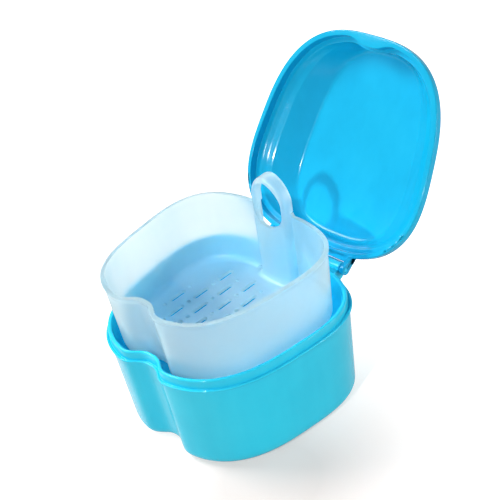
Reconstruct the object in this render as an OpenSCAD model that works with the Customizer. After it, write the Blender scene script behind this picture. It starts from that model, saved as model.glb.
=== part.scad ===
// Denture case, shown open, with its strainer basket lifted out of the water.
// Origin at the middle of the foot, +Z up, +Y towards the hinge. Millimetres.

/* [Plan] */
// Half width of the case at mid length, measured on the ledge
half_w = 48; // [42:0.5:56]
// Half length of the case, front to back, measured on the ledge
half_l = 46.5; // [42:0.5:54]
// Squareness of the plan: 2 is an ellipse, more is squarer
plan_power = 2.9; // [2.5:0.1:3.4]
// Widening from mid length to the back, as a share of the half width
widening = 0.12; // [0.05:0.01:0.16]
// Depth of the finger notch in the front
notch_d = 5.2; // [3:0.2:7]
// Half width of the finger notch
notch_w = 8.5; // [7:0.5:11]

/* [Base] */
// Height of the ledge that the lid sits on
ledge_h = 45; // [42:0.5:55]
// Height of the lip above the ledge
lip_h = 4; // [3:0.25:5]
// Thickness of the ledge bead
bead_t = 1.4; // [1:0.1:2]
// How far the ledge bead stands out from the wall
bead_out = 0.9; // [0.5:0.1:1.2]
// How far the wall leans in from the ledge to the foot
lean = 2.5; // [1:0.1:4]
// Wall thickness of the base
base_t = 2.1; // [1.8:0.1:2.6]
// Floor thickness of the base
floor_t = 2.4; // [2:0.1:3.5]
// Thickness of the lip
lip_t = 1.6; // [1.4:0.1:2]
// Radius round the foot
foot_r = 5; // [3:0.5:6]
// Radius inside the base, where wall meets floor
base_in_r = 4; // [2:0.5:4.5]

/* [Lid] */
// How far the lid stands out past the ledge
lid_out = 1.5; // [1:0.1:2]
// Squareness of the lid's plan
lid_power = 2.8; // [2.5:0.1:3.2]
// Widening of the lid to the back, as a share of its half width
lid_widening = 0.1; // [0.08:0.01:0.14]
// Height of the lid's rim band
band_h = 3.6; // [3:0.2:5]
// Step from the rim band in to the dome
band_step = 0.9; // [0.5:0.1:1.2]
// Inner depth of the lid above the ledge
lid_depth = 15.5; // [15:0.5:20]
// Thickness of the lid's top
lid_t = 2; // [1.6:0.1:3]
// Width of the shoulder that comes down over the lip
shoulder_w = 2.2; // [2:0.1:2.6]
// How far the lid's flat top is drawn in at the sides
top_in = 18.6; // [16:0.2:20]
// How far the ridge inside the lid's sides is drawn in
ridge_in = 8.3; // [7:0.1:9]
// Height of that ridge above the ledge
ridge_h = 7.2; // [6.4:0.2:8]
// Outer radius between the lid's ends and its top
end_r = 5; // [4:0.5:6]
// Inner radius between the lid's ends and its top
end_in_r = 2.5; // [2:0.5:3.5]
// How much of the finger notch the lid's recess follows
lid_notch = 0.6; // [0.5:0.05:0.7]
// Rise of the lid's crown
crown_h = 0.6; // [0.2:0.1:1.5]
// Opening angle of the lid
open_a = 126; // [100:1:128]

/* [Hinge] */
// Distance from the back of the ledge to the hinge axis
hinge_back = 4.9; // [4.7:0.1:6]
// Distance from the ledge down to the hinge axis
hinge_drop = 1; // [0.6:0.1:1.4]
// Outer diameter of the hinge barrel
barrel_d = 4.8; // [4.4:0.1:5]
// Length of the base's barrel
barrel_l = 44; // [36:1:48]
// Thickness of each lid ear
ear_t = 2.45; // [2:0.05:3.5]
// Diameter of the hinge pin
pin_d = 2; // [1.6:0.1:2.4]
// Depth of the bracket below the hinge axis
bracket_h = 8; // [6:0.5:12]
// Distance from the barrel out to the heel that stops the lid
heel_run = 3.4; // [2.8:0.1:4]

/* [Basket] */
// Height of the basket, underside to rim
basket_h = 35.3; // [30:0.5:36]
// Wall thickness of the basket
basket_t = 1.4; // [1.2:0.1:2]
// Floor thickness of the basket
basket_floor_t = 1.6; // [1.2:0.1:2.4]
// Outer radius between the basket's wall and floor
basket_r = 4.5; // [3:0.5:6]
// Height of the thicker edge round the rim
edge_h = 1.4; // [1:0.1:2]
// How far that edge stands out from the wall
edge_out = 0.5; // [0.3:0.1:0.8]
// How far the basket is lifted above its seat
lift = 36.3; // [20:0.5:40]
// Squareness of the basket's plan
basket_power = 3.2; // [2.8:0.1:3.4]
// How far the basket sits forward of the middle, to leave room for its handle
forward = 0.7; // [0:0.1:1]

/* [Handle] */
// Half width of the channel in the basket's back wall, and of the loop above it
channel_half_w = 10.1; // [9:0.1:11]
// How far the channel's face stands into the basket at its sides
channel_depth = 3.7; // [3:0.1:4.5]
// How much further it stands in at the middle
crown = 1.2; // [0.8:0.1:1.6]
// Radius of the channel's front corners
channel_corner = 2; // [1.9:0.1:2.4]
// Thickness of the channel and of the loop's legs
loop_t = 1.6; // [1.4:0.1:1.8]
// Thickness of the loop at its crest
crest_t = 2; // [1.8:0.1:2.6]
// Height of the loop above the rim
loop_h = 17.8; // [16:0.2:19]
// Height above the rim at which the legs begin to bend over
leg_h = 6.6; // [5:0.2:8]
// Squareness of the loop's arch
arch_power = 1.75; // [1.6:0.05:2]
// Height above the rim from which the finger hole is as wide as the loop allows
hole_foot = 1.2; // [0.6:0.2:2]
// Bottom of the finger hole below the rim
hole_drop = 6.3; // [5:0.1:8]

/* [Drain holes] */
// Length of a drain slot
slot_l = 9; // [6:0.5:12]
// Width of a drain slot
slot_w = 2.4; // [1.6:0.1:3]
// Diameter of a round drain hole
drain_d = 2; // [1.6:0.1:3]
// Spacing of the drain columns, side to side
column_pitch = 7.5; // [6:0.5:10]
// Spacing of the slots along a column
slot_pitch = 15; // [15:0.5:20]
// Least distance from a drain hole to the basket's wall
drain_margin = 3.5; // [3:0.5:8]

/* [Fits] */
// Gap between the basket's wall and the inside of the base
basket_gap = 2.4; // [1.8:0.1:2.6]
// Gap under the seated basket, and between the closed lid and its seat
seat_gap = 0.3; // [0.3:0.05:0.5]
// Gap between the lid and the side of the lip
lip_gap = 0.35; // [0.3:0.05:0.5]
// Gap between moving hinge faces
hinge_gap = 0.35; // [0.3:0.05:0.5]
// Clearance round the pin in a lid ear, on the diameter
pin_clearance = 0.1; // [0.06:0.02:0.16]

/* [Hidden] */
blue = [0.16, 0.72, 0.9];
frosted = [0.86, 0.93, 0.96];

// Points round each outline, closer together at the notch
sides = 108;
crowding = 0.35;
// Steps in each rounded corner of a section
steps = 4;
$fn = 64;

rim_z = ledge_h + lip_h;
slope = lean / ledge_h;
lip_out = bead_out + base_t - lip_t;
hinge_y = half_l + hinge_back;
hinge_z = ledge_h - hinge_drop;
barrel_r = barrel_d / 2;
ear_x = barrel_l / 2 + hinge_gap;
pin_l = 2 * (ear_x + ear_t - hinge_gap);
basket_z = floor_t + seat_gap + lift;
basket_rim = basket_z + basket_h;
lid_z = ledge_h + seat_gap;
shoulder_z = rim_z + seat_gap;
ceiling_z = ledge_h + lid_depth;
lid_top = ceiling_z + lid_t;
cut = 1;

// Directions round the outline, starting at the front, anticlockwise from above
function turns() = [
    for (i = [0 : sides - 1])
        let (u = 2 * (i + 0.5) / sides - 1)
        90 + 180 * ((1 - crowding) * u + crowding * (u - sin(180 * u) / PI)) + 180
];

// A squared ellipse by its polar radius, widened to the back, with the notch
function ring(a, b, power, wide, notch, z) = [
    for (t = turns())
        let (
            r = pow(pow(abs(cos(t)) / a, power) + pow(abs(sin(t)) / b, power), -1 / power),
            y = r * sin(t),
            x = r * cos(t) * (1 + wide * y / b),
            dent = y < 0 ? notch * notch_d * exp(-pow(abs(x) / notch_w, 3)) : 0
        )
        [x, y + dent, z]
];

// Outlines of the base and the lid, drawn in by off from the ledge, and by ends at front and back
function base_ring(z, off, notch = 1) =
    ring(half_w - off, half_l - off, plan_power, widening, notch, z);
function lid_in_ring(z, off, ends, notch) =
    ring(half_w - off, half_l - ends, plan_power, widening, notch, z);
function lid_ring(z, off, ends = undef) =
    ring(half_w - off, half_l - (is_undef(ends) ? off : ends), lid_power, lid_widening, 0, z);

// How far the outside and the inside of the base's wall are drawn in at a height
function outer_off(z) = bead_out + slope * (ledge_h - z);
function inner_off(z) = outer_off(z) + base_t;

// How far the outside of the basket's wall is drawn in at a height above its underside
function basket_off(h) = inner_off(floor_t + seat_gap + h) + basket_gap;

function backwards(list) = [for (i = [len(list) - 1 : -1 : 0]) list[i]];

// One closed skin over a list of rings, capped at both ends
module skin(rings) {
    last = len(rings) - 1;
    wall = [
        for (k = [0 : last - 1], i = [0 : sides - 1])
            let (a = k * sides + i, b = k * sides + (i + 1) % sides)
            each [[a, a + sides, b + sides], [a, b + sides, b]]
    ];
    bottom = [for (i = [0 : sides - 1]) i];
    top = [for (i = [sides - 1 : -1 : 0]) last * sides + i];
    polyhedron(points = [for (r = rings) each r], faces = concat([bottom], wall, [top]));
}

// The outside of the base: foot radius, leaning wall, bead, lip, then down the inside
module base_shell() {
    foot = [
        for (k = [0 : steps])
            let (a = 90 * k / steps, z = foot_r * (1 - cos(a)))
            base_ring(z, outer_off(z) + foot_r * (1 - sin(a)))
    ];
    bead = [
        base_ring(ledge_h - bead_t, outer_off(ledge_h - bead_t)),
        base_ring(ledge_h - bead_t * 0.8, bead_out * 0.25),
        base_ring(ledge_h - bead_t * 0.5, 0),
        base_ring(ledge_h - bead_t * 0.15, bead_out * 0.1),
        base_ring(ledge_h, bead_out * 0.45)
    ];
    lip_r = lip_t / 2;
    lip = [
        base_ring(ledge_h, lip_out),
        for (k = [0 : steps])
            let (a = 180 * k / steps)
            base_ring(rim_z - lip_r * (1 - sin(a)), lip_out + lip_r * (1 - cos(a)))
    ];
    inside = [
        base_ring(ledge_h, inner_off(ledge_h)),
        for (k = [steps : -1 : 0])
            let (a = 90 * k / steps, z = floor_t + base_in_r * (1 - cos(a)))
            base_ring(z, inner_off(z) + base_in_r * (1 - sin(a)))
    ];
    skin(concat(foot, bead, lip, inside));
}

// Turns a YZ outline into a bar along X, from x0 to x1
module along_x(x0, x1) {
    translate([x0, 0, 0])
        rotate([90, 0, 90])
            linear_extrude(x1 - x0)
                children();
}

// A round bar along the hinge axis, from x0 to x1
module hinge_bar(r, x0, x1) {
    translate([x0, hinge_y, hinge_z])
        rotate([0, 90, 0])
            cylinder(r = r, h = x1 - x0);
}

// Bracket under the barrel: the open lid's leaf lies against its heel
module bracket() {
    heel_y = hinge_y - barrel_r * cos(open_a) + heel_run * sin(open_a);
    heel_z = hinge_z + barrel_r * sin(open_a) + heel_run * cos(open_a);
    top_z = hinge_z + hinge_drop / 2;
    wall_y = half_l - inner_off(hinge_z) + base_t / 2;
    along_x(-barrel_l / 2, barrel_l / 2)
        polygon([
            [wall_y, top_z],
            [wall_y, hinge_z - bracket_h],
            [heel_y, heel_z - barrel_r],
            [heel_y, heel_z],
            [hinge_y, top_z]
        ]);
    hinge_bar(barrel_r, -barrel_l / 2, barrel_l / 2);
}

module base_case() {
    color(blue)
        difference() {
            union() {
                base_shell();
                bracket();
            }
            hinge_bar(pin_d / 2, -barrel_l, barrel_l);
        }
}

module hinge_pin() {
    color(blue)
        hinge_bar(pin_d / 2, -pin_l / 2, pin_l / 2);
}

// The lid as it lies closed: rim band and dome outside, recess for the lip inside
module lid_shell() {
    edge = 0.4;
    dome_off = band_step - lid_out;
    band_z = lid_z + band_h;
    band = [
        lid_ring(lid_z, edge - lid_out),
        lid_ring(lid_z + edge, -lid_out),
        lid_ring(band_z - edge, -lid_out),
        lid_ring(band_z, edge - lid_out),
        lid_ring(band_z, dome_off)
    ];
    // The sides lean in all the way to the top, the ends stand nearly upright and round over
    out_run = (top_in - 1 - dome_off) / (lid_top - band_z);
    top_off = top_in + 0.5;
    top_ends = dome_off + 0.15 * (lid_top - lid_z) + end_r;
    dome = [
        for (k = [0 : steps - 1])
            let (
                a = 90 * k / (steps - 1),
                z = lid_top - end_r * (1 - sin(a)),
                off = k < steps - 1 ? dome_off + out_run * (z - band_z) : top_off
            )
            lid_ring(z, off, dome_off + 0.15 * (z - lid_z) + end_r * (1 - cos(a)))
    ];
    crown = [
        for (s = [0.6, 0.25])
            lid_ring(
                lid_top + crown_h * (1 - s * s),
                half_w - s * (half_w - top_off),
                half_l - s * (half_l - top_ends)
            )
    ];
    recess_off = lip_out - lip_gap;
    dome_in_off = recess_off + shoulder_w;
    ridge_z = ledge_h + ridge_h;
    recess = [
        base_ring(lid_z, recess_off, lid_notch),
        base_ring(shoulder_z, recess_off, lid_notch),
        base_ring(shoulder_z, dome_in_off, 0.7 * lid_notch)
    ];
    in_run = (top_in - ridge_in) / (ceiling_z - ridge_z);
    inside = [
        lid_in_ring(ridge_z, ridge_in, dome_in_off + 0.06 * (ridge_z - shoulder_z), 0.3 * lid_notch),
        for (k = [0 : steps - 1])
            let (
                a = 90 * k / (steps - 1),
                z = ceiling_z - end_in_r * (1 - sin(a)),
                off = k < steps - 1 ? ridge_in + in_run * (z - ridge_z) : top_in + 0.8
            )
            lid_in_ring(z, off, dome_in_off + 0.06 * (z - shoulder_z) + end_in_r * (1 - cos(a)), 0)
    ];
    // From the crown out and down the outside, then up the inside
    outside = backwards(concat(band, dome, crown));
    skin([for (r = concat(outside, recess, inside)) backwards(r)]);
}

// Leaf along the lid's back edge, with an ear round the pin at each end
module lid_hinge() {
    leaf_y = hinge_y - barrel_r - hinge_gap;
    root_y = half_l - band_step;
    root_top = lid_z + band_h - hinge_gap;
    along_x(-ear_x - ear_t, ear_x + ear_t)
        polygon([[root_y, lid_z], [leaf_y, lid_z], [leaf_y, root_top - 1], [root_y, root_top]]);
    for (side = [0, 1])
        mirror([side, 0, 0]) {
            hinge_bar(barrel_r, ear_x, ear_x + ear_t);
            along_x(ear_x, ear_x + ear_t)
                polygon([
                    [root_y, lid_z],
                    [root_y, root_top],
                    [hinge_y + barrel_r * cos(60), hinge_z + barrel_r * sin(60)],
                    [hinge_y - barrel_r * cos(45), hinge_z - barrel_r * sin(45)]
                ]);
        }
}

module lid() {
    color(blue)
        translate([0, hinge_y, hinge_z])
            rotate([-open_a, 0, 0])
                translate([0, -hinge_y, -hinge_z])
                    difference() {
                        union() {
                            lid_shell();
                            lid_hinge();
                        }
                        hinge_bar((pin_d + pin_clearance) / 2, -barrel_l, barrel_l);
                    }
}

// Outline of the basket, drawn in by off from the ledge
function basket_ring(z, off) = [
    for (p = ring(half_w - off, half_l - off, basket_power, widening, 1, z)) p - [0, forward, 0]
];

// Rings of the basket's outside and of its hollow, by height above the underside
function basket_out() = [
    for (k = [0 : steps])
        let (a = 90 * k / steps, h = basket_r * (1 - cos(a)))
        basket_ring(basket_z + h, basket_off(h) + basket_r * (1 - sin(a))),
    basket_ring(basket_rim - edge_h, basket_off(basket_h - edge_h)),
    basket_ring(basket_rim - edge_h * 0.8, basket_off(basket_h) - edge_out),
    basket_ring(basket_rim - edge_h * 0.2, basket_off(basket_h) - edge_out),
    basket_ring(basket_rim, basket_off(basket_h) - edge_out / 2)
];
function basket_in() = [
    for (k = [0 : steps])
        let (
            r = basket_r - basket_t,
            a = 90 * k / steps,
            h = basket_floor_t + r * (1 - cos(a))
        )
        basket_ring(basket_z + h, basket_off(h) + basket_t + r * (1 - sin(a))),
    basket_ring(loop_top + 2 * cut, basket_off(basket_h + loop_h + 2 * cut) + basket_t)
];

// The channel seen from above, drawn in by d: x from the middle, y from the wall's inner face
function channel_plan(d) =
    let (
        w = channel_half_w,
        r = channel_corner,
        k = max(r - d, 0.1),
        corner = [
            for (i = [0 : steps])
                let (a = 90 * i / steps, x = w - r + k * cos(a))
                [x, r - channel_depth - crown * (1 - pow(x / w, 2)) - k * sin(a)]
        ],
        face = [
            for (i = [1 : steps])
                let (x = (w - r) * (1 - i / steps))
                [x, d - channel_depth - crown * (1 - pow(x / w, 2))]
        ],
        right = concat([[w - d, 4 * basket_t]], corner, face)
    )
    concat(right, [for (i = [len(right) - 2 : -1 : 0]) [-right[i][0], right[i][1]]]);

loop_top = basket_rim + loop_h;
back_y = half_l - forward - basket_off(basket_h);

// The channel leans back as the wall does
module channel(d, top) {
    translate([0, back_y - basket_t, basket_rim])
        rotate([-atan(slope), 0, 0])
            translate([0, 0, -2 * basket_h])
                linear_extrude(height = 2 * basket_h + top)
                    polygon(channel_plan(d));
}

// Half of a squared ellipse above a height, from right to left
function arch(half, rise, z) = [
    for (i = [0 : 6 * steps])
        let (a = 180 * i / (6 * steps), c = cos(a))
        [half * sign(c) * pow(abs(c), 2 / arch_power), z + rise * pow(sin(a), 2 / arch_power)]
];

// An outline in the XZ plane, run through from front to back of the handle
module through(outline) {
    y0 = back_y - basket_t - 2 * (channel_depth + crown);
    y1 = back_y + 2 * basket_t;
    translate([0, y1, 0])
        rotate([90, 0, 0])
            linear_extrude(height = y1 - y0)
                polygon(outline);
}

// The loop: the back wall and the channel, carried up as far as the arch
module loop() {
    low = basket_rim - 2 * channel_half_w;
    intersection() {
        skin([
            basket_ring(basket_rim - edge_h / 2, basket_off(basket_h - edge_h / 2)),
            basket_ring(loop_top + cut, basket_off(basket_h + loop_h + cut))
        ]);
        through(concat(
            arch(channel_half_w, loop_h - leg_h, basket_rim + leg_h),
            [[-channel_half_w, low], [channel_half_w, low]]
        ));
    }
}

// The finger hole: an arch above, half an ellipse below
module finger_hole() {
    half = channel_half_w - loop_t;
    foot = basket_rim + hole_foot;
    through(concat(
        arch(half, loop_h - leg_h - crest_t, basket_rim + leg_h),
        [
            for (i = [0 : 4 * steps])
                let (a = 180 + 180 * i / (4 * steps))
                [half * cos(a), foot + (hole_foot + hole_drop) * sin(a)]
        ]
    ));
}

// Whether a drain hole fits the floor, clear of its edge, the notch and the channel
function drain_fits(x, y, half_x, half_y) =
    let (
        inset = basket_off(0) + basket_r + drain_margin,
        v = y + forward,
        room_y = half_l - inset,
        room_x = (half_w - inset) * (1 + widening * v / room_y),
        reach = pow((abs(x) + half_x) / room_x, basket_power) + pow((abs(v) + half_y) / room_y, basket_power),
        off_notch = abs(x) - half_x > notch_w || v - half_y > notch_d + drain_margin - room_y,
        face = back_y - basket_t - slope * basket_h - channel_depth - crown - drain_margin,
        clear = abs(x) - half_x > channel_half_w + drain_margin || y + half_y < face
    )
    reach < 1 && off_notch && clear;

module drain_hole(x, y, d = drain_d) {
    translate([x, y, basket_z - cut])
        cylinder(d = d, h = basket_floor_t + 2 * cut);
}

module drain_slot(x, y) {
    run = slot_l - slot_w;
    for (end = [-0.5, 0.5])
        drain_hole(x, y + end * run, slot_w);
    translate([x - slot_w / 2, y - run / 2, basket_z - cut])
        cube([slot_w, run, basket_floor_t + 2 * cut]);
}

// Drain columns, front to back: slots with a round hole between each two
module drains() {
    columns = ceil(half_w / column_pitch);
    rows = ceil(half_l / slot_pitch);
    for (i = [-columns : columns], j = [-rows : rows]) {
        x = i * column_pitch;
        y = (j + (i % 2 == 0 ? 0 : 0.5)) * slot_pitch;
        if (drain_fits(x, y, slot_w / 2, slot_l / 2))
            drain_slot(x, y);
        if (drain_fits(x, y + slot_pitch / 2, drain_d / 2, drain_d / 2))
            drain_hole(x, y + slot_pitch / 2);
    }
}

module basket() {
    color(frosted)
        difference() {
            union() {
                skin(basket_out());
                loop();
            }
            difference() {
                skin(basket_in());
                channel(0, 2 * loop_h);
            }
            channel(loop_t, leg_h / 2);
            finger_hole();
            drains();
        }
}

base_case();
hinge_pin();
lid();
basket();
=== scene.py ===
import math
import bmesh
import bpy
import numpy as np
from mathutils import Matrix, Vector
from mathutils.geometry import delaunay_2d_cdt


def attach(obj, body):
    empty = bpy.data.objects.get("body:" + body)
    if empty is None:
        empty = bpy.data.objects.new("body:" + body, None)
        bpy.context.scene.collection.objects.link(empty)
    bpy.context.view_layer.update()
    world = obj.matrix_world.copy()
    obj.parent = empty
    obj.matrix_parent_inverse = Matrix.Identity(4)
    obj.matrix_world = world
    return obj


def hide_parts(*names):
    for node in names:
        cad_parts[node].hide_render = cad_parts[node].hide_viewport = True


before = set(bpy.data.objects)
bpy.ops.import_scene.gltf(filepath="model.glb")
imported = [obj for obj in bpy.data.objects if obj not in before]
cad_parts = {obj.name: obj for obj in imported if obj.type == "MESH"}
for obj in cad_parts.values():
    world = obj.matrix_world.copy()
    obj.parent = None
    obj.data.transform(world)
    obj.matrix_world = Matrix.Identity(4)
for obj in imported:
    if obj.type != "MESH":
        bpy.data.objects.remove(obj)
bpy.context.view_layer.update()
mm = 0.001  # every length below is in millimetres until it goes into a mesh

# The plan that base, lid and basket share
plan = {
    "halfWidth": 48.0,
    "halfLength": 46.5,
    "power": 2.9,  # of the squared ellipse
    "widening": 0.12,  # share by which the back is wider
    "notchDepth": 5.2,
    "notchWidth": 8.5,
    "columns": 320,  # points round the outline
    "crowding": 0.35,  # how much closer they lie at the notch
}


def planAngles(count, crowding):
    # Even steps u from -1 to 1 turned into angles, packed closer at the front notch
    u = 2 * (np.arange(count) + 0.5) / count - 1
    return np.radians(270 + 180 * ((1 - crowding) * u + crowding * (u - np.sin(np.pi * u) / np.pi)))


def planRows(off, up, angles, notch=1.0, power=plan["power"], widening=plan["widening"], ends=None):
    # Squared ellipse by its polar radius (|cos|/a)^p + (|sin|/b)^p, drawn in by off at each height,
    # or by ends at front and back, widened towards the back in step with y, and dented at the front
    # by a cubed bell curve
    off = np.atleast_1d(np.asarray(off, float))[:, None]
    a = plan["halfWidth"] - off
    b = plan["halfLength"] - (off if ends is None else ends[:, None])
    c, s = np.cos(angles)[None], np.sin(angles)[None]
    r = ((np.abs(c) / a) ** power + (np.abs(s) / b) ** power) ** (-1 / power)
    y = r * s
    x = r * c * (1 + widening * y / b)
    bell = plan["notchDepth"] * np.exp(-((np.abs(x) / plan["notchWidth"]) ** 3))
    y = y + np.where(y < 0, np.atleast_1d(notch)[:, None] * bell, 0)
    return np.stack([x, y, np.broadcast_to(np.atleast_1d(up)[:, None], x.shape)], -1)


def roundProfile(corners, turn=11.0):
    # Corners (across, up, radius): each corner becomes an arc that touches both of its sides
    pts = np.array(corners, float)
    out = [pts[:1, :2]]
    for before, here, after in zip(pts[:-2], pts[1:-1], pts[2:]):
        a, b = before[:2] - here[:2], after[:2] - here[:2]
        la, lb = np.linalg.norm(a), np.linalg.norm(b)
        a, b = a / la, b / lb
        half = math.acos(np.clip(a @ b, -1, 1)) / 2
        reach = min(here[2] / math.tan(half), la - before[2], lb - after[2])
        if reach < 1e-4:
            out.append(here[None, :2])
            continue
        radius = reach * math.tan(half)
        middle = here[:2] + (a + b) / np.linalg.norm(a + b) * radius / math.sin(half)
        sweep = math.pi - 2 * half
        t = np.linspace(0, 1, max(3, math.ceil(math.degrees(sweep) / turn) + 1))[:, None]
        u, v = here[:2] + a * reach - middle, here[:2] + b * reach - middle
        out.append(middle + (np.sin((1 - t) * sweep) * u + np.sin(t * sweep) * v) / math.sin(sweep))
    out.append(pts[-1:, :2])
    return np.concatenate(out)


def supportRows(profile, near=0.5, far=6.0):
    # Long straight runs get a point close to each end and one every few millimetres
    out = []
    for p, q in zip(profile[:-1], profile[1:]):
        run = np.linalg.norm(q - p)
        t = np.zeros(1)
        if run > 3 * near:
            inner = np.linspace(near, run - near, max(2, round(run / far) + 1))
            t = np.concatenate([t, inner / run])
        out.append(p + (q - p) * t[:, None])
    return np.concatenate(out + [profile[-1:]])


def gridFaces(rows, columns, wrap=True):
    # Quads between neighbouring rows, facing the cross product of the column and row directions
    i = np.arange(columns if wrap else columns - 1)
    j = (i + 1) % columns
    k = np.arange(rows - 1)[:, None] * columns
    return np.stack([k + i, k + j, k + columns + j, k + columns + i], -1).reshape(-1, 4)


def putMesh(name, verts, faces):
    mesh = bpy.data.meshes.new(name)
    mesh.from_pydata((np.asarray(verts) * mm).tolist(), [], [list(f) for f in faces])
    mesh.update()
    mesh.polygons.foreach_set("use_smooth", np.ones(len(mesh.polygons), bool))
    piece = bpy.data.objects.new(name, mesh)
    bpy.context.scene.collection.objects.link(piece)
    return piece


def shellMesh(name, rows, crown=0.0):
    # Rows of outline points joined into a skin. Each end is drawn in to a pole in its own flat, and the
    # last flat swells by crown times one minus the squared share of the way out
    shrink = np.array([0.97, 0.8, 0.55, 0.3, 0.12])[:, None, None]
    first, last = rows[:1] * shrink[::-1], rows[-1:] * shrink
    first[..., 2] = rows[0, 0, 2]
    last[..., 2] = rows[-1, 0, 2] + crown * (1 - shrink[:, :, 0] ** 2)
    grid = np.concatenate([first, rows, last])
    count, columns = grid.shape[:2]
    poles = [[0, 0, rows[0, 0, 2]], [0, 0, rows[-1, 0, 2] + crown]]
    verts = np.concatenate([grid.reshape(-1, 3), poles])
    i = np.arange(columns)
    j = (i + 1) % columns
    end = (count - 1) * columns
    fanA = np.stack([j, i, np.full(columns, count * columns)], -1)
    fanB = np.stack([end + i, end + j, np.full(columns, count * columns + 1)], -1)
    return putMesh(name, verts, gridFaces(count, columns).tolist() + fanA.tolist() + fanB.tolist())


def addBevel(piece, width, angle=50):
    bevel = piece.modifiers.new("edges", "BEVEL")
    bevel.width = width * mm
    bevel.segments = 3
    bevel.limit_method = "ANGLE"
    bevel.angle_limit = math.radians(angle)
    bevel.harden_normals = True


def barAlongX(name, outline, x0, x1, edge):
    # A closed YZ outline carried straight along X between two flat ends
    stations, count = 9, len(outline)
    x = np.repeat(np.linspace(x0, x1, stations), count)
    verts = np.column_stack([x, np.tile(outline, (stations, 1))])
    faces = gridFaces(stations, count).tolist()
    faces += [list(range(count))[::-1], list(range((stations - 1) * count, stations * count))]
    piece = putMesh(name, verts, faces)
    addBevel(piece, edge)
    return piece


def closedOutline(corners, turn=11.0):
    # A rounded closed outline: the first two corners come again so that every corner gets its arc
    return roundProfile(list(corners) + list(corners[:2]), turn)[1:-1]


def cutSheet(outline, holes, tests):
    # Flat sheet with holes: constrained triangles, minus those whose middle passes a hole's test
    loops = [np.asarray(outline)] + [np.asarray(h) for h in holes]
    starts = np.cumsum([0] + [len(p) for p in loops[:-1]])
    edges = []
    for s, p in zip(starts, loops):
        k = np.arange(len(p))
        edges += np.stack([s + k, s + (k + 1) % len(p)], -1).tolist()
    points = [Vector(p) for p in np.concatenate(loops).tolist()]
    verts, _, faces = delaunay_2d_cdt(points, edges, [], 1, 1e-6)[:3]
    verts = np.array([list(v) for v in verts])
    faces = np.array(faces)
    middle = verts[faces].mean(1)
    keep = ~np.any([test(middle) for test in tests], axis=0)
    return verts, faces[keep]


def meshArrays(piece):
    # Points in millimetres, their normals, and the faces
    mesh = piece.data
    co = np.zeros(len(mesh.vertices) * 3, np.float32)
    mesh.vertices.foreach_get("co", co)
    normals = np.zeros(len(mesh.vertices) * 3, np.float32)
    mesh.vertex_normals.foreach_get("vector", normals)
    return co.reshape(-1, 3) / mm, normals.reshape(-1, 3), [list(p.vertices) for p in mesh.polygons]


def mergeCopies(piece):
    # Points closer than two thousandths of a millimetre become one
    work = bmesh.new()
    work.from_mesh(piece.data)
    bmesh.ops.remove_doubles(work, verts=work.verts, dist=2e-6)
    work.to_mesh(piece.data)
    work.free()
    piece.data.update()


def boundaryEdges(faces):
    # Edges used by one face only, in the direction that the face runs
    pairs = np.concatenate([np.stack([f, np.roll(f, -1, 1)], -1).reshape(-1, 2) for f in faces])
    key = np.sort(pairs, 1)
    _, back, count = np.unique(key, axis=0, return_inverse=True, return_counts=True)
    return pairs[count[back.ravel()] == 1]


def thickMesh(name, front, rear, faces, flip=False):
    # Two matching skins and the strip of quads that joins them along every free edge
    groups = [np.array([f for f in faces if len(f) == n]) for n in sorted({len(f) for f in faces})]
    if flip:
        groups = [g[:, ::-1] for g in groups]
    count = len(front)
    free = boundaryEdges(groups)
    strip = np.stack([free[:, 1], free[:, 0], free[:, 0] + count, free[:, 1] + count], -1)
    every = [*groups, *(g[:, ::-1] + count for g in groups), strip]
    return putMesh(name, np.concatenate([front, rear]), [f for part in every for f in part.tolist()])


# Camera, matched to the photograph: place, roll and lens
camera = {
    "place": (354.479, -253.518, 372.798),
    "right": (0.691488, 0.70251183, -0.16828981),
    "up": (-0.31346039, 0.50168468, 0.80625992),
    "back": (0.65083556, -0.50476688, 0.56711857),
    "lens": 92.686,
}
cam = bpy.data.objects.new("camera", bpy.data.cameras.new("camera"))
bpy.context.scene.collection.objects.link(cam)
cam.data.lens = camera["lens"]
cam.data.sensor_width = 36
cam.data.clip_start = 0.01
cam.data.clip_end = 20
turn = Matrix((camera["right"], camera["up"], camera["back"])).transposed().to_4x4()
cam.matrix_world = Matrix.Translation(Vector(camera["place"]) * mm) @ turn
bpy.context.scene.camera = cam
print("camera set")


# Materials
def nodeMaker(material):
    # Gives a function that adds a node, links or sets its sockets, and sets its other settings
    tree = material.node_tree
    tree.nodes.clear()

    def make(kind, inputs=None, **settings):
        node = tree.nodes.new(kind)
        for key, value in settings.items():
            setattr(node, key, value)
        for key, value in (inputs or {}).items():
            if isinstance(value, bpy.types.NodeSocket):
                tree.links.new(value, node.inputs[key])
            else:
                node.inputs[key].default_value = value
        return node

    return make


def rampOf(make, factor, stops):
    node = make("ShaderNodeValToRGB", {"Fac": factor})
    ramp = node.color_ramp
    while len(ramp.elements) < len(stops):
        ramp.elements.new(0.5)
    for element, (place, colour) in zip(ramp.elements, stops):
        element.position = place
        element.color = (*colour, 1)
    return node.outputs["Color"]


# Three tones for each blue moulding. Base and lid are one plastic, but the base's tones are painted
# lighter, as painted light, and the lid's a shade deeper, as painted shade
baseLitLook = {
    "deep": (0.022, 0.625, 0.880),
    "body": (0.028, 0.670, 0.920),
    "pale": (0.036, 0.710, 0.950),
}
lidShadedLook = {
    "deep": (0.004, 0.425, 0.715),
    "body": (0.006, 0.468, 0.765),
    "pale": (0.010, 0.505, 0.800),
}
# Noise scales per metre, and how strongly each shows
blueFinish = {
    "cloudScale": 28,
    "flowScale": 170,
    "flowStretch": 0.16,  # streaks run along the height
    "flowShare": 0.3,
    "hairScale": 900,
    "hairStretch": 0.05,
    "hairBand": (0.66, 0.74),  # noise values where a hairline starts and is full
    "hairRough": 0.12,  # what a hairline adds to the roughness
    "hairDepth": -0.25,  # and takes from the relief
    "peelScale": 420,
    "relief": 0.06,
    "rough": (0.09, 0.15),
    "specular": 0.22,
    "bend": 1.49,
}


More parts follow.
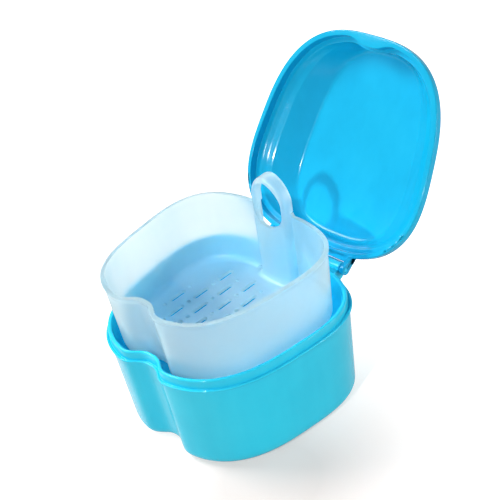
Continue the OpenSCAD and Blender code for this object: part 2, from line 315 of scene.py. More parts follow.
def bluePlastic(name, seed, look):
    # Glossy moulded plastic: slow colour drift, flow streaks, hairline scuffs, faint orange peel
    material = bpy.data.materials.new(name)
    material.use_nodes = True
    make = nodeMaker(material)
    finish = blueFinish
    place = make("ShaderNodeTexCoord").outputs["Object"]
    spot = make("ShaderNodeMapping", {"Vector": place, "Location": (seed, seed * 0.7, 0)}).outputs[0]
    cloud = make(
        "ShaderNodeTexNoise",
        {"Vector": spot, "Scale": finish["cloudScale"], "Detail": 4, "Roughness": 0.55},
    )
    long = make("ShaderNodeMapping", {"Vector": spot, "Scale": (1, 1, finish["flowStretch"])})
    flow = make(
        "ShaderNodeTexNoise",
        {"Vector": long.outputs[0], "Scale": finish["flowScale"], "Detail": 3, "Distortion": 0.4},
    )
    drift = make(
        "ShaderNodeMath",
        {0: cloud.outputs["Fac"], 1: 1 - finish["flowShare"]},
        operation="MULTIPLY",
    )
    mixed = make(
        "ShaderNodeMath",
        {0: flow.outputs["Fac"], 1: finish["flowShare"], 2: drift.outputs[0]},
        operation="MULTIPLY_ADD",
    )
    tones = [(0.3, look["deep"]), (0.5, look["body"]), (0.7, look["pale"])]
    colour = rampOf(make, mixed.outputs[0], tones)
    # Hairlines: a stretched noise cut to a thin band
    tilted = make(
        "ShaderNodeMapping",
        {"Vector": spot, "Rotation": (0.5, 0.3, 0.9), "Scale": (finish["hairStretch"], 1, 1)},
    )
    hair = make(
        "ShaderNodeTexNoise",
        {"Vector": tilted.outputs[0], "Scale": finish["hairScale"], "Detail": 2},
    )
    start, full = finish["hairBand"]
    lines = rampOf(make, hair.outputs["Fac"], [(start, (0, 0, 0)), (full, (1, 1, 1))])
    smooth, dull = finish["rough"]
    rough = make(
        "ShaderNodeMapRange",
        {"Value": cloud.outputs["Fac"], 1: 0.3, 2: 0.7, 3: smooth, 4: dull},
    )
    scuffed = make(
        "ShaderNodeMath",
        {0: lines, 1: finish["hairRough"], 2: rough.outputs[0]},
        operation="MULTIPLY_ADD",
    )
    peel = make(
        "ShaderNodeTexNoise",
        {"Vector": spot, "Scale": finish["peelScale"], "Detail": 2, "Roughness": 0.4},
    )
    relief = make(
        "ShaderNodeMath",
        {0: lines, 1: finish["hairDepth"], 2: peel.outputs["Fac"]},
        operation="MULTIPLY_ADD",
    )
    bump = make(
        "ShaderNodeBump",
        {"Height": relief.outputs[0], "Strength": finish["relief"], "Distance": 0.0004},
    )
    shader = make(
        "ShaderNodeBsdfPrincipled",
        {
            "Base Color": colour,
            "Roughness": scuffed.outputs[0],
            "Normal": bump.outputs[0],
            "IOR": finish["bend"],
            "Specular IOR Level": finish["specular"],
        },
    )
    make("ShaderNodeOutputMaterial", {"Surface": shader.outputs[0]})
    return material


# Tones, the share of light that goes through, and the tint that it gives to lamps shining on through it
frostLook = {
    "shade": (0.76, 0.925, 0.965),
    "body": (0.81, 0.950, 0.980),
    "light": (0.85, 0.965, 0.990),
    "through": 0.79,  # share of light that passes
    "lamp": (0.10, 0.36, 0.48),  # tint of lamp light behind it
    "cloudScale": 45,
    "sparkScale": 1400,
    "streakScale": 220,
    "relief": 0.12,
    "rough": (0.30, 0.42),
    "bend": 1.42,
}


def frostedPlastic(name):
    # Milky polypropylene: light goes through blurred, the surface is finely sparked and a little cloudy
    material = bpy.data.materials.new(name)
    material.use_nodes = True
    make = nodeMaker(material)
    place = make("ShaderNodeTexCoord").outputs["Object"]
    cloud = make(
        "ShaderNodeTexNoise",
        {"Vector": place, "Scale": frostLook["cloudScale"], "Detail": 4, "Roughness": 0.6},
    )
    tones = [(0.3, frostLook["shade"]), (0.5, frostLook["body"]), (0.72, frostLook["light"])]
    colour = rampOf(make, cloud.outputs["Fac"], tones)
    spark = make("ShaderNodeTexNoise", {"Vector": place, "Scale": frostLook["sparkScale"], "Detail": 2})
    wipe = make("ShaderNodeMapping", {"Vector": place, "Scale": (1, 1, 0.2)})
    streak = make(
        "ShaderNodeTexNoise",
        {"Vector": wipe.outputs[0], "Scale": frostLook["streakScale"], "Detail": 2},
    )
    smooth, dull = frostLook["rough"]
    rough = make(
        "ShaderNodeMapRange",
        {"Value": streak.outputs["Fac"], 1: 0.3, 2: 0.7, 3: smooth, 4: dull},
    )
    relief = make(
        "ShaderNodeMath",
        {0: streak.outputs["Fac"], 1: 0.5, 2: spark.outputs["Fac"]},
        operation="MULTIPLY_ADD",
    )
    bump = make(
        "ShaderNodeBump",
        {"Height": relief.outputs[0], "Strength": frostLook["relief"], "Distance": 0.0002},
    )
    shader = make(
        "ShaderNodeBsdfPrincipled",
        {
            "Base Color": colour,
            "Roughness": rough.outputs[0],
            "Normal": bump.outputs[0],
            "IOR": frostLook["bend"],
            "Transmission Weight": frostLook["through"],
        },
    )
    # Lamps shine on through it, so the base behind and below stays lit
    pale = make("ShaderNodeBsdfTransparent", {"Color": (*frostLook["lamp"], 1)})
    lamp = make("ShaderNodeLightPath").outputs["Is Shadow Ray"]
    both = make("ShaderNodeMixShader", {0: lamp, 1: shader.outputs[0], 2: pale.outputs[0]})
    make("ShaderNodeOutputMaterial", {"Surface": both.outputs[0]})
    return material


# Two copies of one plastic: the base's painted lighter (painted light), the lid's painted darker
# (painted shade)
baseLitBlue = bluePlastic("base_blue_painted_light", 0.0, baseLitLook)
lidShadedBlue = bluePlastic("lid_blue_painted_shade", 0.37, lidShadedLook)
frosted = frostedPlastic("frosted")
print("materials made")

# Base: foot, leaning wall, ledge bead, standing lip, hollow. The foot rests on a ring round a recess
base = {
    "ledge": 45.0,  # height that the lid rests above
    "lip": 4.0,  # how far the lip stands over the ledge
    "beadHeight": 1.4,
    "beadOut": 0.9,  # how far the bead stands out from the wall
    "lean": 2.5,  # of the whole wall, over the ledge's height
    "wall": 2.1,
    "floor": 2.4,
    "lipWall": 1.6,
    "footRadius": 5.0,
    "innerRadius": 4.0,
    "recess": 0.5,  # depth of the hollow under the foot
    "ring": 2.4,  # width of the flat that it stands on, from the foot's round in
    "seamOut": 1.0,  # shadow seam between bead and lip
}
rim = base["ledge"] + base["lip"]
slope = base["lean"] / base["ledge"]


def outerOff(z):
    # The wall leans in by the same share of every millimetre below the ledge
    return base["beadOut"] + slope * (base["ledge"] - z)


def innerOff(z):
    # The inner face keeps one thickness inside it
    return outerOff(z) + base["wall"]


ledge, floorTop = base["ledge"], base["floor"]
beadLow = ledge - base["beadHeight"]
lipOff = base["beadOut"] + base["wall"] - base["lipWall"]
lipIn = innerOff(ledge)
recess = base["recess"]
ringIn = outerOff(0) + base["footRadius"] + base["ring"]
baseProfile = roundProfile(
    [
        (ringIn + 2.2, recess, 0),
        (ringIn + 0.8, recess, 0.5),
        (ringIn, 0, 0.4),
        (outerOff(0), 0, base["footRadius"]),
        (outerOff(beadLow), beadLow, 0.25),
        (0.0, beadLow + 0.35, 0.5),
        (0.0, ledge - 0.1, 0.5),
        (base["seamOut"] - 0.25, ledge - 0.1, 0.2),
        (base["seamOut"], ledge - 0.45, 0.15),
        (lipOff - 0.02, ledge - 0.45, 0.2),
        (lipOff, rim, 0.79),
        (lipIn, rim, 0.79),
        (innerOff(floorTop), floorTop, base["innerRadius"]),
        (innerOff(floorTop) + 9, floorTop, 0),
    ]
)
baseProfile = supportRows(baseProfile)
angles = planAngles(plan["columns"], plan["crowding"])
rows = planRows(baseProfile[:, 0], baseProfile[:, 1], angles)
baseShell = shellMesh("base_shell", rows)
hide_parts("base_case")

# Hinge bracket under the barrel, with the heel that the open lid's leaf lies against
hinge = {
    "y": 51.4,
    "z": 44.0,
    "barrel": 2.4,  # radius
    "barrelHalf": 22.0,
    "bracketDepth": 8.0,
    "heelRun": 3.4,  # length of the heel's face along the leaf
    "gap": 0.35,  # between moving faces
    "ear": 2.45,  # thickness along the pin
    "bore": 1.05,
    "open": 126.0,  # degrees from shut to the rest pose
}
hy, hz, hr = hinge["y"], hinge["z"], hinge["barrel"]
openAngle = math.radians(hinge["open"])
heelY = hy - hr * math.cos(openAngle) + hinge["heelRun"] * math.sin(openAngle)
heelZ = hz + hr * math.sin(openAngle) + hinge["heelRun"] * math.cos(openAngle)
wallY = plan["halfLength"] - innerOff(hz) + base["wall"] / 2
bracketOutline = closedOutline(  # y, z and corner radius
    [
        (wallY, hz - hinge["bracketDepth"], 0),
        (heelY, heelZ - hr, 0.8),
        (heelY, heelZ, 0.35),
        (hy, hz + 0.5, 0),
        (wallY, hz + 0.5, 0),
    ]
)
bracket = barAlongX("base_bracket", bracketOutline, -hinge["barrelHalf"], hinge["barrelHalf"], 0.4)
spin = np.linspace(0, 2 * np.pi, 73)[:-1]
barrelOutline = np.stack([hy + hr * np.cos(spin), hz + hr * np.sin(spin)], -1)
barrel = barAlongX("base_barrel", barrelOutline, -hinge["barrelHalf"], hinge["barrelHalf"], 0.35)
for piece in (baseShell, bracket, barrel):
    piece.data.materials.append(baseLitBlue)
    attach(piece, "base")
print("base made")

# Lid, worked out closed and then turned open about the pin
lid = {
    "out": 1.5,  # how far the band stands outside the rim
    "power": 2.8,  # of the outer plan
    "widening": 0.1,
    "band": 3.6,  # height
    "step": 0.9,  # from the band in to the sides
    "depth": 15.5,  # from the ledge to the inner floor
    "top": 2.0,  # thickness
    "shoulder": 2.2,  # width of the land over the lip
    "topIn": 18.6,  # from the plan in to the flat top
    "ridgeIn": 8.3,  # from the plan in to the ridge
    "ridge": 7.2,  # height of the ridge over the ledge
    "hollow": 0.3,
    "foot": 3.0,  # radius where the sides meet the inner floor
    "edge": 6.0,  # radius round the top
    "endRadius": 5.0,
    "endInner": 2.5,
    "endLean": 0.15,  # of the outer front and back, per millimetre of height
    "endInnerLean": 0.06,
    "notch": (0.6, 0.42, 0.18),  # share of the base's notch at recess, shoulder and ridge
    "notchGone": 4.0,  # height over the ridge where it has gone
    "crown": 0.6,  # swell of the top
    "seatGap": 0.3,
    "lipGap": 0.35,
}
seatGap = lid["seatGap"]
lidLow = ledge + seatGap
shoulderZ = rim + seatGap
ceiling = ledge + lid["depth"]
lidTop = ceiling + lid["top"]
recessOff = lipOff - lid["lipGap"]
innerStart = recessOff + lid["shoulder"]
domeOff = lid["step"] - lid["out"]
bandTop = lidLow + lid["band"]
ridgeZ = ledge + lid["ridge"]
# The land between ridge and shoulder is hollowed slightly, so lamps glint along it as a thin streak
land = np.array([innerStart - lid["ridgeIn"], shoulderZ - ridgeZ])
outOfLand = np.array([land[1], -land[0]]) / np.linalg.norm(land)
landMiddle = np.array([lid["ridgeIn"], ridgeZ]) + land / 2 + lid["hollow"] * outOfLand
insideProfile = roundProfile(
    [
        (lid["topIn"] + 3, ceiling, 0),
        (lid["topIn"], ceiling, lid["foot"]),
        (lid["ridgeIn"], ridgeZ, 1.0),
        (*landMiddle, 24.0),
        (innerStart, shoulderZ, 0.45),
        (recessOff, shoulderZ, 0.3),
        (recessOff, lidLow, 0.3),
        (recessOff - 1.2, lidLow, 0),
    ],
    8,
)
outsideProfile = roundProfile(
    [
        (recessOff - 1.2, lidLow, 0),
        (-lid["out"], lidLow, 0.6),
        (-lid["out"], bandTop, 0.6),
        (domeOff, bandTop, 0.25),
        (lid["topIn"] - 1, lidTop, lid["edge"]),
        (lid["topIn"] + 4, lidTop, 0),
    ],
    8,
)
insideProfile = supportRows(insideProfile, 0.4, 0.7)
outsideProfile = supportRows(outsideProfile, 0.4, 0.7)


def endOffs(profile, start, low, lean, top, radius):
    # Front and back: as the sides up to low, then upright with a slight lean and one round to the top
    off, z = profile.T
    over = np.clip(z - top + radius, 0, radius)
    ends = start + lean * (z - low) + radius - np.sqrt(radius**2 - over**2)
    flat = z > top - 1e-3
    return np.where(z < low + 0.02, off, ends + np.where(flat, off - off[flat].min(), 0))


insideEnds = endOffs(insideProfile, innerStart, shoulderZ, lid["endInnerLean"], ceiling, lid["endInner"])
outsideEnds = endOffs(outsideProfile, domeOff, bandTop, lid["endLean"], lidTop, lid["endRadius"])
# The recess follows the base's notch most, shoulder and ridge less, and what lies above not at all
atRecess, atShoulder, atRidge = lid["notch"]
inOff, inZ = insideProfile.T
dent = np.interp(inZ, [shoulderZ, ridgeZ, ridgeZ + lid["notchGone"]], [atShoulder, atRidge, 0])
outward = np.clip((innerStart - inOff) / lid["shoulder"], 0, 1)
dent = np.where(inZ <= shoulderZ + 0.02, atShoulder + (atRecess - atShoulder) * outward, dent)
insideRows = planRows(inOff, inZ, angles, dent, ends=insideEnds)
outsideRows = planRows(*outsideProfile.T, angles, 0.0, lid["power"], lid["widening"], outsideEnds)
lidShell = shellMesh("lid_shell", np.concatenate([insideRows, outsideRows[1:]]), lid["crown"])
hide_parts("lid")

leafY = hy - hr - hinge["gap"]
rootY = plan["halfLength"] - lid["step"]
rootTop = bandTop - hinge["gap"]
earIn = hinge["barrelHalf"] + hinge["gap"]
earOut = earIn + hinge["ear"]
leafOutline = closedOutline(
    [(rootY, lidLow, 0), (leafY, lidLow, 0.3), (leafY, rootTop - 1, 0.5), (rootY, rootTop, 0.2)]
)
leaf = barAlongX("lid_leaf", leafOutline, -earOut, earOut, 0.35)


def earMesh(name, side):
    # A disc round the pin's bore and the arm to the lid, as a cut sheet given its thickness along X
    a = np.radians(np.linspace(60, -135, 40))
    arc = np.stack([hy + hr * np.cos(a), hz + hr * np.sin(a)], -1)
    outline = np.concatenate([[(rootY, lidLow), (rootY, rootTop)], arc])[::-1]
    ring = np.linspace(0, 2 * np.pi, 41)[:-1]
    hole = np.stack([hy + hinge["bore"] * np.cos(ring), hz + hinge["bore"] * np.sin(ring)], -1)
    inBore = [lambda m: np.hypot(m[:, 0] - hy, m[:, 1] - hz) < hinge["bore"]]
    flat, faces = cutSheet(outline, [hole], inBore)
    count = len(flat)
    near = np.column_stack([np.full(count, side * earIn), flat])
    far = np.column_stack([np.full(count, side * earOut), flat])
    return thickMesh(name, near, far, faces.tolist(), side > 0)


ears = [earMesh("lid_ear_left", -1), earMesh("lid_ear_right", 1)]
for ear in ears:
    addBevel(ear, 0.35)
swing = Matrix.Rotation(-openAngle, 4, "X")
about = Vector((0, hy, hz)) * mm
opened = Matrix.Translation(about) @ swing @ Matrix.Translation(-about)
for piece in (lidShell, leaf, *ears):
    piece.data.transform(opened)
    piece.data.materials.append(lidShadedBlue)
    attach(piece, "lid")
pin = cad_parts["hinge_pin"]
pin.data.materials.clear()
pin.data.materials.append(baseLitBlue)
print("lid made")

# Basket: one sheet for floor, wall, channel and loop, then given its thickness outwards
basket = {
    "under": 39.0,  # height of its underside at rest
    "height": 35.3,
    "power": 3.2,  # of its own plan
    "forward": 0.7,  # how far its plan is set to the front
    "wall": 1.4,
    "floor": 1.6,
    "radius": 4.5,
    "edge": 1.4,  # height of the thicker rim edge
    "edgeOut": 0.5,
    "gap": 2.4,  # to the base's wall when seated
    "channelHalf": 10.1,
    "channelDepth": 3.7,
    "crown": 1.2,
    "corner": 2.0,  # radius beside the channel's face
    "loopWall": 1.6,
    "loopCrest": 2.0,
    "loopFoot": 6.6,  # height over the rim where the arch starts
    "loopTop": 17.8,
    "loopPower": 1.75,
    "holeFoot": 1.2,  # height over the rim where the hole is widest
    "holeDrop": 6.1,  # how far the hole reaches below the rim
    "holePower": 1.8,
    "fillet": 1.8,  # radius between rim and handle
    "backFrom": 20.0,  # the handle's side of the plan starts here
    "handleFrom": 25.0,
    "levelRows": 13.0,  # rows of the channel bend from this far under the rim
    "wallColumns": 96,
    "wallRows": 26,
    "hole": {"slot": 9.0, "width": 2.4, "round": 2.0, "columns": 7.5, "pitch": 15.0, "margin": 3.5},
}
under, basketRim = basket["under"], basket["under"] + basket["height"]
basketFloor = under + basket["floor"]
seatLift = floorTop + seatGap


def basketOff(z):
    # The basket's outer face follows the base's inner one, seated, at one gap
    return innerOff(seatLift + z - under) + basket["gap"]


backY = plan["halfLength"] - basket["forward"] - basketOff(basketRim) - basket["wall"]
topZ = basketRim + basket["fillet"]


def frontOf(x):
    # The channel's face stands this far in front of the wall: its depth and a low crown across it
    return basket["channelDepth"] + basket["crown"] * (1 - (x / basket["channelHalf"]) ** 2)


def wallLine(z, inset=0.0):
    # Right half of the wall's inner outline at a height, from the front to the channel's side
    turns = np.linspace(-np.pi / 2, np.pi / 2, 6000)  # fine enough to step along by length
    off = basketOff(z) + basket["wall"] + inset
    edge = planRows([off], [0], turns, 1.0, basket["power"])[0, :, :2] - [0, basket["forward"]]
    sideX = basket["channelHalf"] + inset
    k = int(np.argmax((edge[:, 1] > basket["backFrom"]) & (edge[:, 0] < sideX)))
    t = (edge[k - 1, 0] - sideX) / (edge[k - 1, 0] - edge[k, 0])
    line = np.concatenate([edge[:k], edge[k - 1 : k] * (1 - t) + edge[k : k + 1] * t])
    return line, np.concatenate([[0], np.cumsum(np.linalg.norm(np.diff(line, axis=0), axis=1))])


def basketRow(z, inset=0.0):
    # One height of the basket: the wall, the channel's side, its rounded corner and its crowned face
    line, run = wallLine(z, inset)
    wall = np.stack([np.interp(run[-1] * wallShare, run, line[:, i]) for i in (0, 1)], -1)
    wall[0, 0] = 0
    half, r = basket["channelHalf"] + inset, basket["corner"] + inset
    back = backY + slope * (z - basketRim)
    sideY = np.linspace(wall[-1, 1], back - basket["channelDepth"] - inset + r, sideCount + 1)[1:]
    side = np.stack([np.full(sideCount, half), sideY], -1)
    x = np.concatenate([half - r * (1 - np.cos(cornerTurn)), faceX])
    sunk = r - np.sqrt(np.maximum(r**2 - np.maximum(x - half + r, 0) ** 2, 0))
    face = np.stack([x, back - frontOf(x) - inset + sunk], -1)
    return np.concatenate([wall, side, face])


# Shares along the wall: closer at the notch, and in even angles of the fillet beside the handle
wallRun = wallLine(basketRim)[1][-1]
beta = np.linspace(np.pi / 2, 0, 9)
filletS = wallRun - basket["fillet"] * (1 - np.cos(beta))
dense = np.linspace(0, wallRun - basket["fillet"], 4000)
crowd, crowdWidth = 1.2, 15
weight = np.cumsum(1 + crowd * np.exp(-((dense / crowdWidth) ** 2)))
plain = np.interp(np.linspace(weight[0], weight[-1], basket["wallColumns"]), weight, dense)
wallShare = np.concatenate([plain[:-1], filletS]) / wallRun
sideCount, cornerCount = 5, 7
cornerEnd = math.acos(1 - basket["loopWall"] / basket["corner"])
cornerTurn = np.linspace(0, cornerEnd, cornerCount + 1)[1:]
holeHalf = basket["channelHalf"] - basket["loopWall"]
faceX = holeHalf * np.sin(np.linspace(np.pi / 2, 0, 22))[1:]
faceX[-1] = 0
nWall = len(wallShare)
nSide = nWall + sideCount + cornerCount

# Fillet rows at the floor, then ruled rows up to each column's own top
radius = basket["radius"] - basket["wall"]
lowZ = basketFloor + radius
lowRow, topRow = basketRow(lowZ), basketRow(topZ)
filletRows = []
for a in np.linspace(0, np.pi / 2, 9)[:-1]:
    z = basketFloor + radius * (1 - math.cos(a))
    row = basketRow(z, radius * (1 - math.sin(a)))
    filletRows.append(np.column_stack([row, np.full(len(row), z)]))
filletRows = np.array(filletRows)
# Rows lie closer towards the rim, and closest just under it
steps = np.linspace(0, 1, basket["wallRows"]) ** 0.8
near = np.array([0.955, 0.968, 0.978, 0.987, 0.994])
steps = np.unique(np.concatenate([steps[steps < 0.95], near, [1.0]]))
topOf = np.full(len(lowRow), basketRim)
topOf[nWall - len(beta) : nWall] = basketRim + basket["fillet"] * (1 - np.sin(beta))
topOf[nWall - 1 :] = topZ
wallZ = lowZ + (topOf - lowZ) * steps[:, None]

# The face of the channel ends in the finger hole's lower half, half of a squared ellipse. Its rows are
# level up to rowLow and bend gradually into that edge at rowHigh
side = wallZ[:, -1]
rowLow = int(np.argmin(np.abs(side - basketRim + basket["levelRows"])))
rowHigh = int(np.argmin(np.abs(side - basketRim - basket["holeFoot"])))
drop = side[rowHigh] - basketRim + basket["holeDrop"]
bow = basket["holePower"]
holeZ = side[rowHigh] - drop * np.maximum(1 - (faceX / holeHalf) ** bow, 0) ** (1 / bow)
share = (side[rowLow : rowHigh + 1, None] - side[rowLow]) / (side[rowHigh] - side[rowLow])
wallZ[rowLow : rowHigh + 1, nSide:] = side[rowLow] + (holeZ - side[rowLow]) * share
lift = ((wallZ - lowZ) / (topZ - lowZ))[..., None]
ruled = np.concatenate([lowRow * (1 - lift) + topRow * lift, wallZ[..., None]], -1)
grid = np.concatenate([filletRows, ruled])
wallVerts = grid[:, :nSide].reshape(-1, 3)
wallFaces = gridFaces(len(grid), nSide, False)[:, ::-1]
channel = grid[: len(filletRows) + rowHigh + 1, nSide - 1 :]
channelVerts = channel.reshape(-1, 3)
channelFaces = gridFaces(channel.shape[0], channel.shape[1], False)[:, ::-1]

# Loop: the channel's side and corner carried up the legs and over a squared-ellipse arch. Across the
# strip a point is given by how far in from the outline it lies and how far in front of the wall
footZ, rise = basketRim + basket["loopFoot"], basket["loopTop"] - basket["loopFoot"]
crestZ = footZ + 0.8 * rise  # from here up the strip has its full thickness
legZ = np.linspace(topZ, footZ, 7)
legZ = np.sort(np.append(legZ, topZ + 0.35))
arch = np.linspace(0, np.pi / 2, 44)[1:]
bend = 2 / basket["loopPower"]
across = basket["channelHalf"] * np.concatenate([np.ones(len(legZ)), np.cos(arch) ** bend])
up = np.concatenate([legZ, footZ + rise * np.sin(arch) ** bend])
across[-1] = 0
p, half = basket["loopPower"], basket["channelHalf"]
inX = -(across ** (p - 1)) / half**p
inZ = -(np.maximum(up - footZ, 0) ** (p - 1)) / rise**p
size = np.hypot(inX, inZ)
inX, inZ = inX / size, inZ / size
inX[-1], inZ[-1] = 0, -1
crest = np.interp(up, [footZ, crestZ], [basket["loopWall"], basket["loopCrest"]])
wholeTurn = np.arccos(1 - np.minimum(crest / basket["corner"], 1))[:, None]
turns = np.linspace(0, 1, cornerCount + 1)[1:] * wholeTurn
inward = np.concatenate([np.zeros((len(up), 3 + sideCount)), basket["corner"] * (1 - np.cos(turns))], 1)
x = across[:, None] + inX[:, None] * inward
z = up[:, None] + inZ[:, None] * inward
front = frontOf(x)
behind = np.tile(-basket["wall"] * np.array([1.0, 0.5]), (len(up), 1))
ahead = (front[:, :1] - basket["corner"]) * np.linspace(0, 1, sideCount + 1)
rounded = front[:, -cornerCount:] - basket["corner"] * (1 - np.sin(turns))
stand = np.concatenate([behind, ahead, rounded], 1)
stand[0, :2] = 0
strip = np.stack([x, backY + slope * (z - basketRim) - stand, z], -1)
strip[0, 2:] = grid[-1, nWall - 1 : nSide]
strip[0, :2] = grid[-1, nWall - 1]
stripVerts = strip.reshape(-1, 3)
stripFaces = gridFaces(strip.shape[0], strip.shape[1], False)[:, ::-1]

# Drain holes: slots in staggered columns with a round hole between each two
drain = basket["hole"]
columns = math.ceil(plan["halfWidth"] / drain["columns"])
lines = math.ceil(plan["halfLength"] / drain["pitch"])
i, j = np.meshgrid(np.arange(-columns, columns + 1), np.arange(-lines, lines + 1), indexing="ij")
slotX = (i * drain["columns"]).ravel()
slotY = ((j + (i % 2) * 0.5) * drain["pitch"]).ravel()


def fits(x, y, halfX, halfY):
    # Inside the squared ellipse of the floor, beside the notch, and clear of the channel
    inset = basketOff(under) + basket["radius"] + drain["margin"]
    v = y + basket["forward"]
    roomY = plan["halfLength"] - inset
    roomX = (plan["halfWidth"] - inset) * (1 + plan["widening"] * v / roomY)
    p = basket["power"]
    share = ((np.abs(x) + halfX) / roomX) ** p + ((np.abs(v) + halfY) / roomY) ** p
    beside = np.abs(x) - halfX > plan["notchWidth"]
    behind = v - halfY > plan["notchDepth"] + drain["margin"] - roomY
    face = backY - slope * basket["height"] - frontOf(0) - drain["margin"]
    clear = (np.abs(x) - halfX > basket["channelHalf"] + drain["margin"]) | (y + halfY < face)
    return (share < 1) & (beside | behind) & clear


slotOk = fits(slotX, slotY, drain["width"] / 2, drain["slot"] / 2)
roundY = slotY + drain["pitch"] / 2
roundOk = fits(slotX, roundY, drain["round"] / 2, drain["round"] / 2)
slotRun = (drain["slot"] - drain["width"]) / 2
spots = [(x, y, drain["width"] / 2, slotRun) for x, y in zip(slotX[slotOk], slotY[slotOk])]
spots += [(x, y, drain["round"] / 2, 0.0) for x, y in zip(slotX[roundOk], roundY[roundOk])]
holeSteps = 32
angle = np.linspace(0, 2 * np.pi, holeSteps + 1)[:-1] + np.pi / holeSteps
holes = [
    np.stack([x + r * np.cos(angle), y + r * np.sin(angle) + run * np.sign(np.sin(angle))], -1)
    for x, y, r, run in spots
]


def inSpot(x, y, r, run):
    # A test for points nearer than r to the middle line of the slot
    return lambda m: np.hypot(m[:, 0] - x, np.maximum(np.abs(m[:, 1] - y) - run, 0)) < r * 0.98


half = grid[0, :, :2]
floorRing = np.concatenate([half, half[-2:0:-1] * [-1, 1]])
flat, floorFaces = cutSheet(floorRing, holes, [inSpot(*s) for s in spots])
floorVerts = np.column_stack([flat, np.full(len(flat), basketFloor)])

halfVerts = np.concatenate([wallVerts, channelVerts, stripVerts])
halfFaces = np.concatenate(
    [wallFaces, channelFaces + len(wallVerts), stripFaces + len(wallVerts) + len(channelVerts)]
)
count = len(halfVerts)
verts = np.concatenate([halfVerts, halfVerts * [-1, 1, 1], floorVerts])
faces = halfFaces.tolist() + (halfFaces[:, ::-1] + count).tolist() + (floorFaces + 2 * count).tolist()
sheet = putMesh("sheet", verts, faces)
mergeCopies(sheet)
co, normals, faces = meshArrays(sheet)
bpy.data.objects.remove(sheet)
# Thickness: the wall's own, more at the rim edge and in the handle, most at its crest
fromMiddle, height, atBack = np.abs(co[:, 0]), co[:, 2], co[:, 1] > basket["handleFrom"]
onLoop = np.clip((basket["channelHalf"] + 0.8 - fromMiddle) / 0.8, 0, 1) * atBack
onRim = np.clip((height - basketRim + basket["edge"] + 0.3) / 0.5, 0, 1)
beside = np.clip((fromMiddle - basket["channelHalf"] - 0.5) / basket["fillet"], 0, 1)
onRim = np.where(atBack, onRim * beside, onRim)
onFloor = np.clip((lowZ - height) / radius, 0, 1)
strong = np.interp(height, [footZ, crestZ], [basket["loopWall"], basket["loopCrest"]])
thick = basket["wall"] + basket["edgeOut"] * onRim + (strong - basket["wall"]) * onLoop
thick = thick + (basket["floor"] - basket["wall"]) * onFloor * (1 - onLoop)
basketPiece = thickMesh("basket_sheet", co, co - normals * thick[:, None], faces)
addBevel(basketPiece, 0.42, 45)
basketPiece.data.materials.append(frosted)
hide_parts("basket")
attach(basketPiece, "basket")
print("basket made", len(basketPiece.data.polygons), "faces")

# Floor and light: the key throws the handle's shadow into the lid, the side lamp darkens the lid's left
# wall against its floor, and the right one lifts the base's far side
light = {
    "world": 0.09,  # strength all round
    "key": 6.2,
    "keySize": 0.05,
    "keyFrom": (0.265, -0.77, 0.58),
    "side": 9.6,
    "sideSize": 0.45,
    "sideFrom": (-0.6, -0.3, 0.75),
    "right": 6.5,
    "rightSize": 0.5,
    "rightFrom": (0.85, 0.5, 0.15),
    "distance": 1.1,
    "floor": (0.60, 0.50, 0.46),  # warm, against the blue that the base throws on it
    "nearGlow": 0.36,  # white added to the floor in the shadow
    "farGlow": 0.96,  # and away from it
    "inGloss": 0.5,  # share of the white that reflections show
    "through": 0.72,  # and that the frosted plastic shows
    "shadowAt": (0.05, -0.03, 0.0),
    "shadowReach": (0.02, 0.09),  # metres from shadowAt where the glow starts and is full
    "aim": (0, 0.01, 0.05),
    "floorHalf": 4000,
}


def whiteShare(make):
    # How much of the white surroundings a ray sees: all of it from the camera, less in gloss and frost
    path = make("ShaderNodeLightPath").outputs
    gloss = make("ShaderNodeMath", {0: path["Is Glossy Ray"], 1: light["inGloss"]}, operation="MULTIPLY")
    frost = make(
        "ShaderNodeMath",
        {0: path["Is Transmission Ray"], 1: light["through"]},
        operation="MULTIPLY",
    )
    both = make("ShaderNodeMath", {0: gloss.outputs[0], 1: frost.outputs[0]}, operation="MAXIMUM")
    seen = make("ShaderNodeMath", {0: path["Is Camera Ray"], 1: both.outputs[0]}, operation="MAXIMUM")
    return seen.outputs[0]


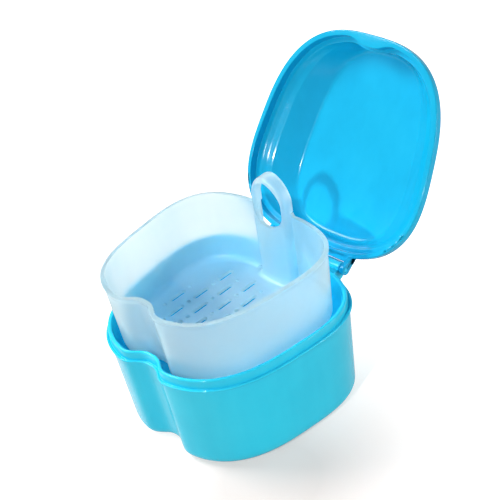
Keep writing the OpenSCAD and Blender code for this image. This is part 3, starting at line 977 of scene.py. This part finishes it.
world = bpy.data.worlds.new("studio")
bpy.context.scene.world = world
world.use_nodes = True
make = nodeMaker(world)
strength = make("ShaderNodeMapRange", {"Value": whiteShare(make), 3: light["world"], 4: 1.0})
sky = make("ShaderNodeBackground", {"Color": (1, 1, 1, 1), "Strength": strength.outputs[0]})
make("ShaderNodeOutputWorld", {"Surface": sky.outputs[0]})


def addLamp(name, direction, size, power):
    lamp = bpy.data.lights.new(name, "AREA")
    lamp.shape = "SQUARE"
    lamp.size = size
    lamp.energy = power
    holder = bpy.data.objects.new(name, lamp)
    way = Vector(direction).normalized()
    holder.location = Vector(light["aim"]) + way * light["distance"]
    holder.rotation_euler = way.to_track_quat("Z", "Y").to_euler()
    bpy.context.scene.collection.objects.link(holder)


addLamp("key", light["keyFrom"], light["keySize"], light["key"])
addLamp("side", light["sideFrom"], light["sideSize"], light["side"])
addLamp("right", light["rightFrom"], light["rightSize"], light["right"])

corners = np.array([[-1, -1, 0], [1, -1, 0], [1, 1, 0], [-1, 1, 0]]) * light["floorHalf"]
floor = putMesh("floor", corners, [[0, 1, 2, 3]])
floorPaint = bpy.data.materials.new("floor_paint")
floorPaint.use_nodes = True
make = nodeMaker(floorPaint)
paint = make("ShaderNodeBsdfPrincipled", {"Base Color": (*light["floor"], 1), "Roughness": 0.45})
# The floor turns to plain white away from the object, and keeps its shadow near it
place = make("ShaderNodeTexCoord").outputs["Object"]
away = make("ShaderNodeVectorMath", {0: place, 1: light["shadowAt"]}, operation="DISTANCE")
start, end = light["shadowReach"]
far = make(
    "ShaderNodeMapRange",
    {"Value": away.outputs["Value"], 1: start, 2: end, 3: light["nearGlow"], 4: light["farGlow"]},
)
glow = make("ShaderNodeMath", {0: whiteShare(make), 1: far.outputs[0]}, operation="MULTIPLY")
shine = make("ShaderNodeEmission", {"Color": (1, 1, 1, 1), "Strength": glow.outputs[0]})
both = make("ShaderNodeAddShader", {0: paint.outputs[0], 1: shine.outputs[0]})
make("ShaderNodeOutputMaterial", {"Surface": both.outputs[0]})
floor.data.materials.append(floorPaint)
bpy.context.scene.view_settings.view_transform = "Standard"
print("stage and lamps made")
